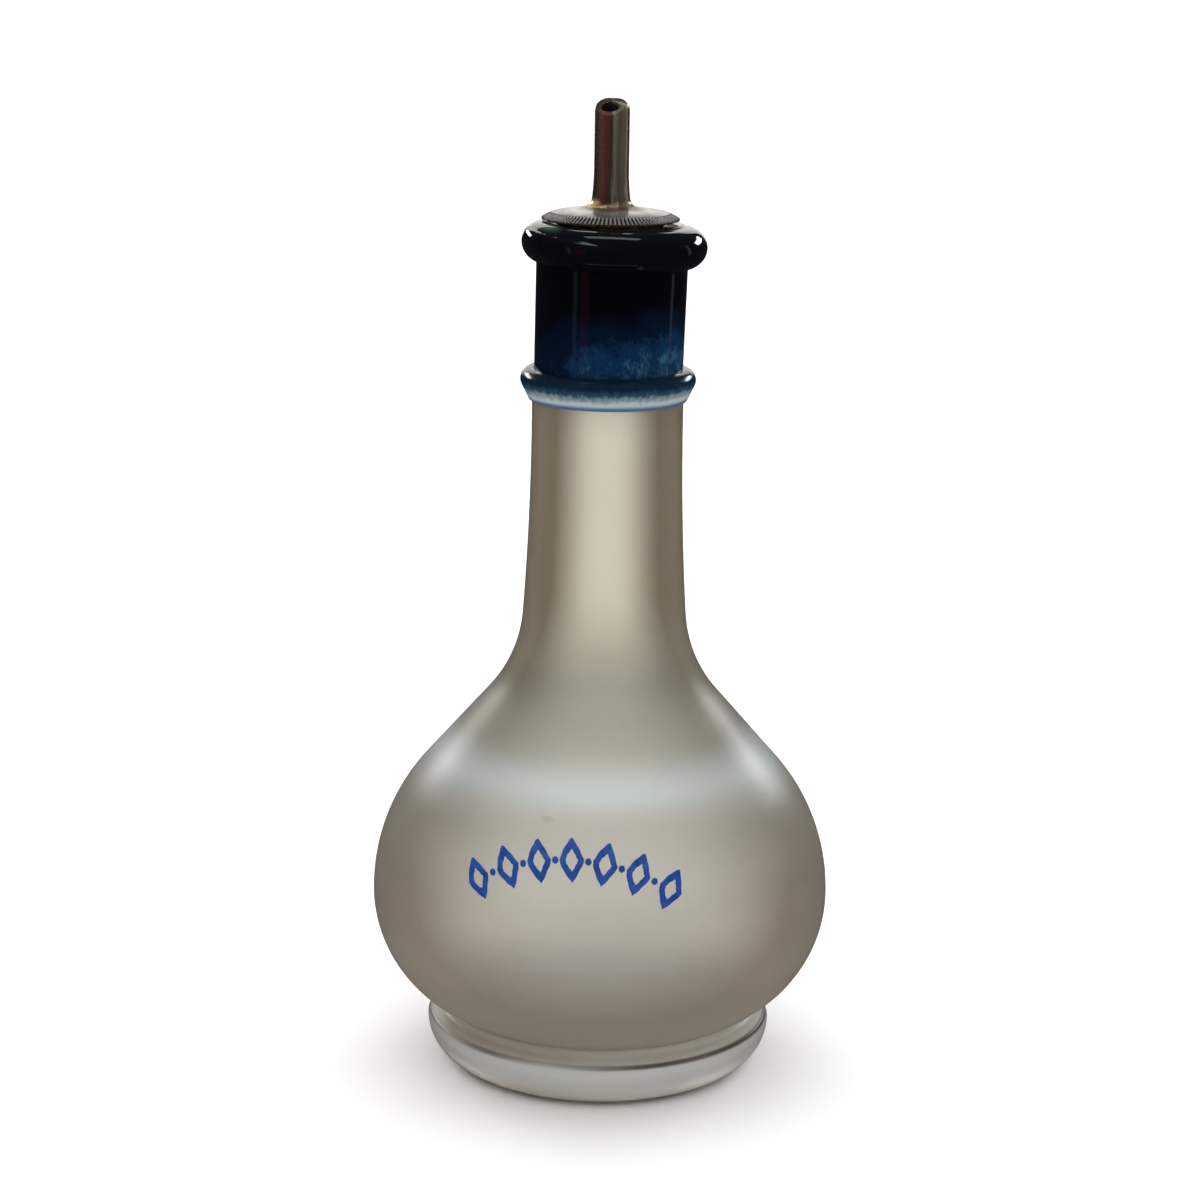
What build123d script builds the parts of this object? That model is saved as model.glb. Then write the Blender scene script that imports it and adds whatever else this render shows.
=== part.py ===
from build123d import *
import os
from math import asin, cos, degrees, radians, sin, sqrt, tan

# A bitters bottle: a blown glass bulb with a long neck on an applied foot, a cobalt collar
# between a string ring and a wound lip, and a corked metal dasher with a milled cap.
# Millimetres, +Z up, the origin at the middle of the foot's underside, the dash hole at -Y.

# Glass foot
foot_radius = 31.6
foot_height = 8.6
foot_rim = 1.1
foot_rim_taper = 0.4
foot_land = 4.0
foot_top_slope = 20
foot_rim_fillet = 0.5
recess_depth = 2.4

# Blown bulb and neck
body_radius = 41.7
belly_low_radius = 23.5
belly_high_radius = 35.9
shoulder_angle = 41.3
cove_radius = 25.4
neck_taper = 4
flare_radius = 514
neck_radius = 13.5
neck_straight = 3.0
glass_wall = 3.3
floor_rise = 2.0
finish_wall = 2.5

# String ring, laid over the joint of neck and collar
ring_height = 5.6
ring_nose_radius = 2.0
ring_reach = 2.1
ring_foot_radius = 0.35
ring_joint_share = 0.5

# Cobalt collar
collar_foot_radius = 13.2
collar_top_radius = 13.4
collar_height = 18.15
collar_wall = 1.3

# Wound lip: one turn of a thick strand, with its tail laid over the front
strand_half_width = 4.0
strand_half_height = 3.7
strand_tilt = 1.8
lip_reach = 3.0
lip_shoulder = 0.1
tail_half_width = 1.25
tail_half_height = 2.3
tail_stand = 0.5
tail_lift = 1.0
tail_drop = 2.0
tail_start = -165
tail_end = -60
tail_size_shares = (1, 1, 0.95, 0.85, 0.7, 0.45)
tail_stand_shares = (-2, 0, 0.8, 1, 0.7, -0.4)

# Cork
cork_length = 22.0
cork_proud = 0.45
cork_taper = 1.3
cork_clearance = 0.08
cork_edge = 0.6
seat_margin = 2.0

# Milled cap
cap_radius = 12.15
cap_edge = 0.75
cap_bevel_run = 1.7
cap_bevel_rise = 0.6
cap_dome_rise = 0.7
cap_dome_crown_share = 0.62
cap_teeth = 96
tooth_width_share = 0.62
tooth_length = 2.9
tooth_slope = 27

# Spout
spout_radius = 3.05
spout_bore = 1.85
spout_height = 19.0
spout_foot_land = 0.12
spout_foot_edge = 0.35
waist_radius = 45
waist_angle = 7
flare_foot_radius = 1.5
flare_foot_angle = 68
tip_round = 2.1
tip_wall = 2.6
tip_cut = 0.4
tip_slant = 38
tip_turn = 18
tip_edge = 0.4
dash_hole_length = 2.7
dash_hole_width = 2.0
dash_hole_depth = 3.0
spout_socket_depth = 4.0

# Stem and its fastening under the cork
stem_radius = 2.45
stem_bore = 1.8
stem_below_nut = 0.9
stem_edge = 0.25
fit_clearance = 0.05
washer_radius = 7.2
washer_thickness = 0.8
washer_edge = 0.2
nut_flats = 8.4
nut_edge = 0.3
nut_thickness = 2.4
nut_sides = 6

# Overrun of every cutting form
overrun = 1.0

# Heights and places that follow from the sizes above
theta = radians(shoulder_angle)
taper = radians(neck_taper)
belly_height = foot_height + belly_low_radius
belly_low_centre = body_radius - belly_low_radius
shoulder_run = (
    body_radius
    - belly_high_radius * (1 - cos(theta))
    - cove_radius * (cos(taper) - cos(theta))
    - flare_radius * (1 - cos(taper))
    - neck_radius
) / sin(theta)
flare_end = (
    belly_height
    + belly_high_radius * sin(theta)
    + shoulder_run * cos(theta)
    + cove_radius * (sin(theta) - sin(taper))
    + flare_radius * sin(taper)
)
ring_bottom = flare_end + neck_straight
ring_top = ring_bottom + ring_height
ring_joint = ring_bottom + ring_height * ring_joint_share
lip_centre = ring_top + collar_height + strand_half_height
lip_top = lip_centre + strand_half_height + lip_shoulder
core_radius = collar_foot_radius - collar_wall
mouth_radius = core_radius - finish_wall
cap_bottom = lip_top + cork_proud
cork_bottom = cap_bottom - cork_length
seat_bottom = cork_bottom - seat_margin
seat_slope = tan(radians(cork_taper))
seat_radius = mouth_radius - (lip_top - seat_bottom) * seat_slope
cap_bevel_top = cap_bottom + cap_edge + cap_bevel_rise
cap_top = cap_bevel_top + cap_dome_rise
spout_top = cap_top + spout_height
washer_top = cork_bottom
washer_bottom = washer_top - washer_thickness
nut_bottom = washer_bottom - nut_thickness
stem_bottom = nut_bottom - stem_below_nut
stem_top = cap_top + spout_socket_depth
stem_hole = stem_radius + fit_clearance
flare_reach = waist_radius * (1 - cos(radians(waist_angle))) + flare_foot_radius * (
    cos(radians(waist_angle)) - cos(radians(waist_angle + flare_foot_angle))
)
spout_foot_radius = spout_radius + flare_reach + spout_foot_land
quarter = 90
section = Plane.XZ


def glass_side(inset):
    """Draws the right side of the glass, inset from its skin, and returns its lower and upper end."""
    belly = (body_radius - inset, belly_height)
    low = JernArc(belly, (0, -1), belly_low_radius - inset, -quarter)
    high = JernArc(belly, (0, 1), belly_high_radius - inset, shoulder_angle)
    shoulder = PolarLine(high @ 1, shoulder_run, direction=high % 1)
    cove = JernArc(shoulder @ 1, shoulder % 1, cove_radius + inset, neck_taper - shoulder_angle)
    flare = JernArc(cove @ 1, cove % 1, flare_radius + inset, -neck_taper)
    return low @ 1, flare @ 1


def glass_skin():
    """Draws the glass from the axis outwards: bulb, neck, and the slimmer core inside the collar."""
    low_end, neck_end = glass_side(0)
    Polyline(
        neck_end,
        (neck_radius, ring_joint),
        (core_radius, ring_joint),
        (core_radius, lip_top),
        (0, lip_top),
        (0, low_end.Y),
        low_end,
    )


def collar_sides(top):
    """Draws the collar's conical outside down to the axis, as a form that rings are fitted over."""
    Polyline(
        (0, ring_joint),
        (collar_foot_radius, ring_joint),
        (collar_top_radius, lip_centre),
        (core_radius, lip_centre),
        (core_radius, top),
        (0, top),
        close=True,
    )


# Bottle body: the blown bulb and neck, hollow, with a tapered seat for the cork
floor_height = foot_height + glass_wall
floor_radius = (belly_low_centre**2 + floor_rise**2) / (2 * floor_rise)
floor_angle = degrees(asin(belly_low_centre / floor_radius))
with BuildPart() as bottle_body:
    with BuildSketch(section):
        with BuildLine():
            glass_skin()
        make_face()
    revolve(axis=Axis.Z)
    with BuildSketch(section):
        with BuildLine():
            cavity_low, cavity_neck = glass_side(glass_wall)
            floor = JernArc((0, floor_height + floor_rise), (1, 0), floor_radius, -floor_angle)
            Polyline(
                cavity_neck,
                (seat_radius, seat_bottom),
                (mouth_radius + overrun * seat_slope, lip_top + overrun),
                (0, lip_top + overrun),
                floor @ 0,
            )
        make_face()
    revolve(axis=Axis.Z, mode=Mode.SUBTRACT)
bottle_body.part.label = "bottle_body"

# Foot ring: a pad of glass pressed under the bulb, with a round edge and a hollow underside
foot_round = foot_height - foot_rim
rim_radius = foot_radius - foot_rim_taper
recess_radius = foot_radius - foot_round - foot_land
recess_sphere = (recess_radius**2 + recess_depth**2) / (2 * recess_depth)
foot_crown = foot_height + (rim_radius - belly_low_centre) * tan(radians(foot_top_slope))
with BuildPart() as foot_ring:
    with BuildSketch(section):
        with BuildLine():
            edge = JernArc((foot_radius - foot_round, 0), (1, 0), foot_round, quarter)
            Polyline(
                edge @ 1,
                (rim_radius, foot_height),
                (belly_low_centre, foot_crown),
                (0, foot_crown),
                (0, 0),
                edge @ 0,
            )
        make_face()
    revolve(axis=Axis.Z)
    rim_edge = foot_ring.edges().filter_by(GeomType.CIRCLE).sort_by(
        lambda e: abs(e.radius - rim_radius) + abs(e.center().Z - foot_height)
    )[0]
    fillet(rim_edge, foot_rim_fillet)
    with Locations((0, 0, recess_depth - recess_sphere)):
        Sphere(recess_sphere, mode=Mode.SUBTRACT)
    with BuildSketch(section):
        with BuildLine():
            glass_skin()
        make_face()
    revolve(axis=Axis.Z, mode=Mode.SUBTRACT)
foot_ring.part.label = "foot_ring"

# Cobalt collar: a thin sleeve of blue glass over the neck's core
with BuildPart() as collar_casing:
    with BuildSketch(section):
        with BuildLine():
            Polyline(
                (core_radius, ring_joint),
                (collar_foot_radius, ring_joint),
                (collar_top_radius, lip_centre),
                (core_radius, lip_centre),
                close=True,
            )
        make_face()
    revolve(axis=Axis.Z)
collar_casing.part.label = "collar_casing"

# String ring: a teardrop strand, blunt above and drawn down to the neck below
nose_centre = ring_top - ring_nose_radius
with BuildPart() as string_ring:
    with BuildSketch(section):
        with Locations((neck_radius + ring_reach - ring_nose_radius, nose_centre)):
            Circle(ring_nose_radius)
        with Locations((neck_radius + ring_foot_radius, ring_bottom + ring_foot_radius)):
            Circle(ring_foot_radius)
        with Locations((core_radius + ring_foot_radius, ring_bottom + ring_foot_radius)):
            Circle(ring_foot_radius)
        with Locations((core_radius + ring_foot_radius, ring_top - ring_foot_radius)):
            Circle(ring_foot_radius)
        make_hull()
    revolve(axis=Axis.Z)
    with BuildSketch(section):
        with BuildLine():
            glass_skin()
        make_face()
    revolve(axis=Axis.Z, mode=Mode.SUBTRACT)
    with BuildSketch(section):
        with BuildLine():
            collar_sides(lip_top)
        make_face()
    revolve(axis=Axis.Z, mode=Mode.SUBTRACT)
string_ring.part.label = "string_ring"

# Wound lip: a thick strand laid round the mouth a little aslant, and its tapering tail in front
strand_radius = collar_top_radius + lip_reach - strand_half_width
strand = Plane((0, 0, lip_centre)).rotated((0, strand_tilt, 0))
with BuildPart() as lip_ring:
    with BuildSketch(Plane(strand.origin, x_dir=strand.x_dir, z_dir=-strand.y_dir)):
        with Locations((strand_radius, 0)):
            Ellipse(strand_half_width, strand_half_height)
    revolve(axis=Axis(strand.origin, strand.z_dir))
    with BuildSketch(section):
        with BuildLine():
            collar_sides(lip_top + strand_half_height)
        make_face()
    revolve(axis=Axis.Z, mode=Mode.SUBTRACT)
    for step, (size_share, stand_share) in enumerate(zip(tail_size_shares, tail_stand_shares)):
        along = step / (len(tail_stand_shares) - 1)
        turn = radians(tail_start + (tail_end - tail_start) * along)
        half_width = tail_half_width * size_share
        reach = collar_top_radius + lip_reach + tail_stand * stand_share - half_width
        out = Vector(cos(turn), sin(turn), 0)
        place = out * reach + Vector(0, 0, lip_centre + tail_lift - tail_drop * along)
        with BuildSketch(Plane(place, x_dir=out, z_dir=(sin(turn), -cos(turn), 0))):
            Ellipse(half_width, tail_half_height * size_share)
    loft()
lip_ring.part.label = "lip_ring"

# Cork: a tapered plug, bored for the stem
cork_top_radius = mouth_radius + cork_proud * seat_slope - cork_clearance
cork_end_radius = cork_top_radius - cork_length * seat_slope
with BuildPart() as cork:
    with BuildSketch(Plane.XY.offset(cork_bottom)):
        Circle(cork_end_radius)
    with BuildSketch(Plane.XY.offset(cap_bottom)):
        Circle(cork_top_radius)
    loft()
    chamfer(cork.edges().group_by(Axis.Z)[0], cork_edge)
    with Locations((0, 0, cap_bottom)):
        Hole(stem_hole)
cork.part.label = "cork"

# Milled cap: a low domed disc with a bevelled rim, cut all round with fine V grooves
bevel_inner = cap_radius - cap_bevel_run
tooth_pitch = 2 * cap_radius * sin(radians(2 * quarter / cap_teeth))
tooth_side = tooth_pitch * tooth_width_share / sqrt(2)
tooth_height = (cap_bottom + cap_edge + cap_bevel_top) / 2
with BuildPart() as milled_cap:
    with BuildSketch(section):
        with BuildLine():
            rim = Polyline(
                (0, cap_bottom),
                (cap_radius, cap_bottom),
                (cap_radius, cap_bottom + cap_edge),
                (bevel_inner, cap_bevel_top),
            )
            dome = ThreePointArc(
                rim @ 1,
                (
                    (bevel_inner + spout_foot_radius) / 2,
                    cap_bevel_top + cap_dome_rise * cap_dome_crown_share,
                ),
                (spout_foot_radius, cap_top),
            )
            Polyline(dome @ 1, (0, cap_top), (0, cap_bottom))
        make_face()
    revolve(axis=Axis.Z)
    with Locations((0, 0, cap_top)):
        Hole(stem_hole)
    with Locations((0, 0, tooth_height)):
        with PolarLocations(cap_radius - cap_bevel_run / 2, cap_teeth):
            Box(
                tooth_length,
                tooth_side,
                tooth_side,
                rotation=Rotation(quarter / 2, tooth_slope, 0, Extrinsic.XYZ),
                mode=Mode.SUBTRACT,
            )
milled_cap.part.label = "milled_cap"

# Spout: a tube flared at its foot, with a round closed tip cut aslant and pierced in front
tip_across = Vector(1, 0, 0).rotate(Axis.Z, -tip_turn)
tip_normal = Vector(0, 0, 1).rotate(Axis.X, tip_slant).rotate(Axis.Z, -tip_turn)
tip_plane = Plane((0, 0, spout_top - tip_cut), x_dir=tip_across, z_dir=tip_normal)
slant = radians(tip_slant)
dash_hole_drop = (spout_radius / cos(slant) - tip_cut / sin(slant)) / 2
flare_rise = waist_radius * sin(radians(waist_angle)) + flare_foot_radius * (
    sin(radians(waist_angle + flare_foot_angle)) - sin(radians(waist_angle))
)
with BuildPart() as spout:
    with BuildSketch(section):
        with BuildLine():
            tip = JernArc((spout_radius, spout_top - tip_round), (0, 1), tip_round, quarter)
            waist_top = (spout_radius, cap_top + spout_foot_edge + flare_rise)
            waist = JernArc(waist_top, (0, -1), waist_radius, waist_angle)
            flare = JernArc(waist @ 1, waist % 1, flare_foot_radius, flare_foot_angle)
            Line(tip @ 0, waist @ 0)
            Polyline(
                flare @ 1,
                (spout_foot_radius, cap_top + spout_foot_edge),
                (spout_foot_radius, cap_top),
                (0, cap_top),
                (0, spout_top),
                tip @ 1,
            )
        make_face()
    revolve(axis=Axis.Z)
    split(bisect_by=tip_plane, keep=Keep.BOTTOM)
    slant_face = spout.faces().sort_by(lambda f: abs(tip_plane.to_local_coords(f.center()).Z))[0]
    fillet(slant_face.edges(), tip_edge)
    with BuildSketch(Plane.XY.offset(cap_top)):
        Circle(stem_hole)
    extrude(amount=spout_socket_depth, mode=Mode.SUBTRACT)
    with BuildSketch(Plane.XY.offset(stem_top)):
        Circle(spout_bore)
    extrude(amount=spout_top - tip_wall - stem_top, mode=Mode.SUBTRACT)
    with BuildSketch(tip_plane):
        with Locations((0, -dash_hole_drop)):
            Ellipse(dash_hole_length / 2, dash_hole_width / 2)
    extrude(amount=-dash_hole_depth, mode=Mode.SUBTRACT)
spout.part.label = "spout"

# Stem: the tube that carries the spout and the cap through the cork
with BuildPart() as stem_tube:
    with BuildSketch(Plane.XY.offset(stem_bottom)):
        Circle(stem_radius)
        Circle(stem_bore, mode=Mode.SUBTRACT)
    extrude(amount=stem_top - stem_bottom)
    chamfer(stem_tube.edges().group_by(Axis.Z)[0].sort_by(SortBy.RADIUS)[-1], stem_edge)
stem_tube.part.label = "stem_tube"

# End washer and nut: they draw the cork up against the cap
with BuildPart() as end_washer:
    with BuildSketch(Plane.XY.offset(washer_bottom)):
        Circle(washer_radius)
        Circle(stem_hole, mode=Mode.SUBTRACT)
    extrude(amount=washer_thickness)
    fillet(end_washer.edges().group_by(Axis.Z)[0].sort_by(SortBy.RADIUS)[-1], washer_edge)
end_washer.part.label = "end_washer"

with BuildPart() as stem_nut:
    with BuildSketch(Plane.XY.offset(nut_bottom)):
        RegularPolygon(nut_flats / 2, nut_sides, major_radius=False)
        Circle(stem_hole, mode=Mode.SUBTRACT)
    extrude(amount=nut_thickness)
    chamfer(stem_nut.edges().group_by(Axis.Z)[0].filter_by(GeomType.LINE), nut_edge)
stem_nut.part.label = "stem_nut"

os.makedirs("parts", exist_ok=True)
glass = [bottle_body, foot_ring, collar_casing, string_ring, lip_ring]
stopper = [cork, milled_cap, spout, stem_tube, end_washer, stem_nut]
for piece in glass + stopper:
    export_step(piece.part, f"parts/{piece.part.label}.step")
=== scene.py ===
# %% [markdown]
# # A frosted bitters bottle with a metal dasher
# This lesson dresses a small bar bottle: a round bulb of acid-frosted glass on an applied foot, a
# long neck, a collar of cobalt glass between two rings, and a cork with a milled metal cap and a
# pouring spout. The construction is loaded as a fixed frame, and every piece is made in place, in
# metres, standing on z = 0.

# %% Load the frame
from math import asin, atan2, copysign, cos, degrees, hypot, pi, radians, sin

import bmesh
import bpy
from mathutils import Matrix, Vector


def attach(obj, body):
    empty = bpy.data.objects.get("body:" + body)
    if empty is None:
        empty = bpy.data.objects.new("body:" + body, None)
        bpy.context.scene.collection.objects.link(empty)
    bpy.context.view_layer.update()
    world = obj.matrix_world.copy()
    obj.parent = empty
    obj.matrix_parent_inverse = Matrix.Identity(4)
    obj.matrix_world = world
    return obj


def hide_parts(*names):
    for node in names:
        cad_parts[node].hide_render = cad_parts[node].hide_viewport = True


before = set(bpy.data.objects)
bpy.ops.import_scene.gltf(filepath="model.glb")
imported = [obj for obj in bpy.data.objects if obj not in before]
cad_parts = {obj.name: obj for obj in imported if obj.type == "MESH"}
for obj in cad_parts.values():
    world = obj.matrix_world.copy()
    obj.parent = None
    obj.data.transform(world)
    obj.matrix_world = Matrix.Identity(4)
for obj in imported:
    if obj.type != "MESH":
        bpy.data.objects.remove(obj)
stage = bpy.context.scene
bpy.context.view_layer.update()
MM = 0.001


def link(name, data):
    """A new object at the origin, put into the scene."""
    thing = bpy.data.objects.new(name, data)
    stage.collection.objects.link(thing)
    return thing


# %% [markdown]
# ## The camera
# The picture was taken from a little above the cap, looking down about fourteen degrees, from half
# a metre away. A lens far off would flatten the rings' ellipses. The bottle leans a hair in the
# picture, and since a bottle stands upright, it is the camera that is turned.

# %% Camera
picture_width, picture_focal, sensor_width = 1200, 2928.24, 36
camera_place = Vector((-0.8, -513.97, 210.56)) * MM
camera_aim = Vector((-0.8, 0, 86.18)) * MM
camera_lean = Matrix.Rotation(radians(0.92), 4, "Z")
gaze = (camera_aim - camera_place).to_track_quat("-Z", "Y").to_matrix().to_4x4()
camera = link("camera", bpy.data.cameras.new("camera"))
camera.matrix_world = Matrix.Translation(camera_place) @ gaze @ camera_lean
camera.data.sensor_width = sensor_width
camera.data.lens = sensor_width * picture_focal / picture_width
camera.data.clip_start = 0.01
stage.camera = camera
camera_away = (camera_place - camera_aim).length / MM
print("camera: %.0f mm lens, %.0f mm away" % (camera.data.lens, camera_away))

# %% [markdown]
# ## Nodes in few words
# Materials and Geometry Nodes are both trees of nodes, so one small helper serves both. It adds a
# node, sets its options, and fills each socket with a plain value or a link. The tree is known from
# the links. A tree then reads almost like a formula.

# %% Helpers for node trees
def fill(socket, value):
    """Links a socket to another node's output, or sets its own plain value or colour."""
    if isinstance(value, bpy.types.NodeSocket):
        socket.id_data.links.new(value, socket)
    else:
        socket.default_value = (*value, 1) if socket.type == "RGBA" else value


def put(kind, sockets, tree=None, **options):
    """Adds a node to a tree, or else to the tree that feeds it, and returns its outputs."""
    feeds = (value for value in sockets.values() if isinstance(value, bpy.types.NodeSocket))
    node = (tree or next(feeds).id_data).nodes.new(kind)
    for option, value in options.items():
        setattr(node, option, value)
    for socket, value in sockets.items():
        fill(node.inputs[socket], value)
    return node.outputs


def reckon(operation, *values):
    """One step of arithmetic, in a material or in Geometry Nodes."""
    return put("ShaderNodeMath", dict(enumerate(values)), operation=operation)[0]


def plus(one, other):
    """The sum of two values."""
    return reckon("ADD", one, other)


def minus(one, other):
    """The first value less the second."""
    return reckon("SUBTRACT", one, other)


def times(first, *others):
    """The product of two or more values."""
    for other in others:
        first = reckon("MULTIPLY", first, other)
    return first


def split(vector):
    """The x, y and z of a vector."""
    return put("ShaderNodeSeparateXYZ", {0: vector})


print("helpers: fill, put, reckon, plus, minus, times, split")

# %% [markdown]
# ## Finishes in few words
# A finish is one shader. What is even about it is set on the shader itself, and what is uneven is
# led into it from patterns. The patterns lie in the piece's own space, so a scale says how many
# waves go into a metre.

# %% Helpers for finishes
def feed(shader, **values):
    """Fills sockets of the shader."""
    for socket, value in values.items():
        fill(shader.inputs[socket.replace("_", " ")], value)


def new_finish(name, colour, roughness, **sockets):
    """A material with its even values set, and its shader."""
    finish = bpy.data.materials.new(name)
    finish.use_nodes = True
    shader = finish.node_tree.nodes["Principled BSDF"]
    feed(shader, Base_Color=colour, Roughness=roughness, **sockets)
    return finish, shader


def patterned(name, colour, roughness, **sockets):
    """A new finish, with the place on the piece, whole and as x, y and z, to paint it by."""
    finish, shader = new_finish(name, colour, roughness, **sockets)
    place = put("ShaderNodeTexCoord", {}, shader.id_data)["Object"]
    return finish, shader, place, *split(place)


def off_axis(x, y):
    """The distance from the bottle's axis."""
    return reckon("SQRT", plus(times(x, x), times(y, y)))


def noise(place, scale, detail=2):
    """Soft cloudy noise, as a value from 0 to 1. The scale is in waves per metre."""
    values = {"Vector": place, "Scale": scale, "Detail": detail}
    return put("ShaderNodeTexNoise", values)[0]


def streaked(place, around, along, detail=3):
    """Noise with so many waves around the axis and so many along it, per metre."""
    stretch = put("ShaderNodeMapping", {"Vector": place, "Scale": (around, around, along)})
    return noise(stretch[0], 1, detail)


def ramp(value, low, high, start=0, end=1):
    """Maps low..high of a value to start..end, and holds it there beyond both ends."""
    values = {"Value": value, "From Min": low, "From Max": high, "To Min": start, "To Max": end}
    return put("ShaderNodeMapRange", values, clamp=True)[0]


def stops(value, pairs):
    """A ramp through several stops, each a place and a colour, for a value from 0 to 1."""
    colours = put("ShaderNodeValToRGB", {0: value})[0]
    elements = colours.node.color_ramp.elements
    while len(elements) < len(pairs):
        elements.new(1)
    for element, (place, *colour) in zip(elements, pairs):
        element.position = place
        element.color = (*colour, 1)
    colours.node.color_ramp.interpolation = "EASE"
    return colours


def blend(share, first, second, mode="MIX"):
    """Mixes two colours by a share from 0 to 1."""
    values = {0: share, 6: first, 7: second}
    return put("ShaderNodeMix", values, data_type="RGBA", blend_type=mode)[2]


def shade(share, colour, by):
    """Darkens a colour by another one, by a share from 0 to 1."""
    return blend(share, colour, by, "MULTIPLY")


def grain(shader, height, strength, distance):
    """Turns a height pattern into relief on the shader. The distance is in metres."""
    values = {"Height": height, "Strength": strength, "Distance": distance}
    feed(shader, Normal=put("ShaderNodeBump", values)[0])


print("helpers for finishes, from feed to grain")

# %% [markdown]
# ## The floor
# A pale floor that runs past the horizon is all the surroundings there are. It isn't seen in
# mirror reflections, because the dark glass would turn milky with it.

# %% Floor
floor_half = 40
corners = [(x * floor_half, y * floor_half, 0) for x, y in ((-1, -1), (1, -1), (1, 1), (-1, 1))]
floor = link("floor", bpy.data.meshes.new("floor"))
floor.data.from_pydata(corners, [], [(0, 1, 2, 3)])
floor_paint, _ = new_finish("floor_paint", (0.9, 0.9, 0.895), 0.9)
floor.data.materials.append(floor_paint)
floor.visible_glossy = False
print("floor: %d m each way" % floor_half)

# %% [markdown]
# ## The lights
# Blown glass is judged by its reflections. The picture shows two low windows in it, left and right
# behind the bottle, and fainter upright slits from in front, one of them reddish. A dimmer wall
# behind, a high window and a skylight show only in reflections, in the metal cap and along the lip.
# The floor is lit from straight above by a wide soft sky, so that no edge of a lamp's pool crosses
# it.

# %% Lamps
def lamp(name, kind, place, power, tint=(1, 1, 1)):
    """A lamp that faces the middle of the bottle."""
    light = bpy.data.lights.new(name, kind)
    light.energy = power
    light.color = tint
    holder = link(name, light)
    holder.location = place
    way = Vector((0, 0, 0.1)) - Vector(place)
    holder.rotation_euler = way.to_track_quat("-Z", "Y").to_euler()
    return holder


def window(name, turn, up, wide, high, radiance, tint=(1, 1, 1), away=1.5):
    """A bright pane, at a turn in degrees from straight behind the bottle to the right."""
    place = (away * sin(radians(turn)), away * cos(radians(turn)), up)
    pane = lamp(name, "AREA", place, radiance * pi * wide * high, tint)
    pane.data.shape = "RECTANGLE"
    pane.data.size, pane.data.size_y = wide, high
    pane.visible_camera = False
    return pane


window("window_left", -37, 0.56, 0.62, 0.24, 9.2, (1, 0.99, 0.97))
window("window_right", 39, 0.56, 0.62, 0.24, 9.4, (0.97, 0.99, 1))
window("slit_left", -124, 0.3, 0.15, 0.9, 0.14)
window("slit_red", -140, 0.3, 0.36, 0.9, 0.11, (1, 0.16, 0.13))
window("slit_right", 74, 0.3, 0.14, 0.9, 0.25)
warm = (1, 0.97, 0.92)
wall_behind = window("wall_behind", -3, 0.5, 1.1, 0.85, 1.15, warm)
high_window = window("high_window", -3, 1.5, 0.5, 0.3, 1.6, warm)
skylight = window("skylight", -3, 1.8, 1.05, 0.4, 1.4, warm, 0.12)
for pane in (wall_behind, high_window, skylight):
    pane.visible_transmission = pane.visible_diffuse = False
above = lamp("light_above", "SUN", (0, 0, 2), 4.15)
above.data.angle = radians(120)
above.visible_glossy = False
print("lights:", len(bpy.data.lights))

# %% [markdown]
# ## The rest of the room
# The dark glass stays dark only because the rest of the room is dim. So the world is pale to the
# camera, as the picture's ground is, but nearly black to everything else.

# %% World
world = bpy.data.worlds.new("dim_room")
stage.world = world
world.use_nodes = True
room = world.node_tree
sky = split(put("ShaderNodeTexCoord", {}, room)["Generated"])
room_colour = blend(ramp(sky["Z"], 0.2, 1), (0.015, 0.015, 0.015), (0.04, 0.04, 0.045))
seen = put("ShaderNodeLightPath", {}, room)["Is Camera Ray"]
fill(room.nodes["Background"].inputs["Color"], blend(seen, room_colour, (1.1, 1.1, 1.1)))
stage.view_settings.view_transform = "Standard"
print("world:", len(room.nodes), "nodes")

# %% [markdown]
# ## Turning a profile
# Almost every piece here is round about one axis, as blown and turned things are. A Spin operator
# could make them, but a Geometry Nodes tree states the rule itself: take the points of a profile,
# repeat them around the axis, and weld the seam and the poles. The points lie exactly where the
# sizes put them, so crisp edges stay crisp.

# %% The turning tree
def new_rule(name, result, inputs):
    """A Geometry Nodes tree with named inputs and one result. Returns it with its inputs."""
    tree = bpy.data.node_groups.new(name, "GeometryNodeTree")
    for socket, kind in inputs.items():
        tree.interface.new_socket(socket, in_out="INPUT", socket_type="NodeSocket" + kind)
    tree.interface.new_socket(result, in_out="OUTPUT", socket_type="NodeSocketGeometry")
    return tree, put("NodeGroupInput", {}, tree)


def position(tree):
    """Each point's place."""
    return put("GeometryNodeInputPosition", {}, tree)[0]


def moved(shape, x, y, z):
    """The shape with its points moved to x, y and z."""
    place = put("ShaderNodeCombineXYZ", {0: x, 1: y, 2: z})[0]
    return put("GeometryNodeSetPosition", {"Geometry": shape, "Position": place})[0]


def end_rule(tree, shape, finish):
    """Ends a tree: its shape is made real and takes the finish."""
    real = put("GeometryNodeRealizeInstances", {"Geometry": shape})[0]
    dressed = put("GeometryNodeSetMaterial", {"Geometry": real, "Material": finish})[0]
    put("NodeGroupOutput", {0: dressed})
    print(tree.name + ":", len(tree.nodes), "nodes")
    return tree


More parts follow.
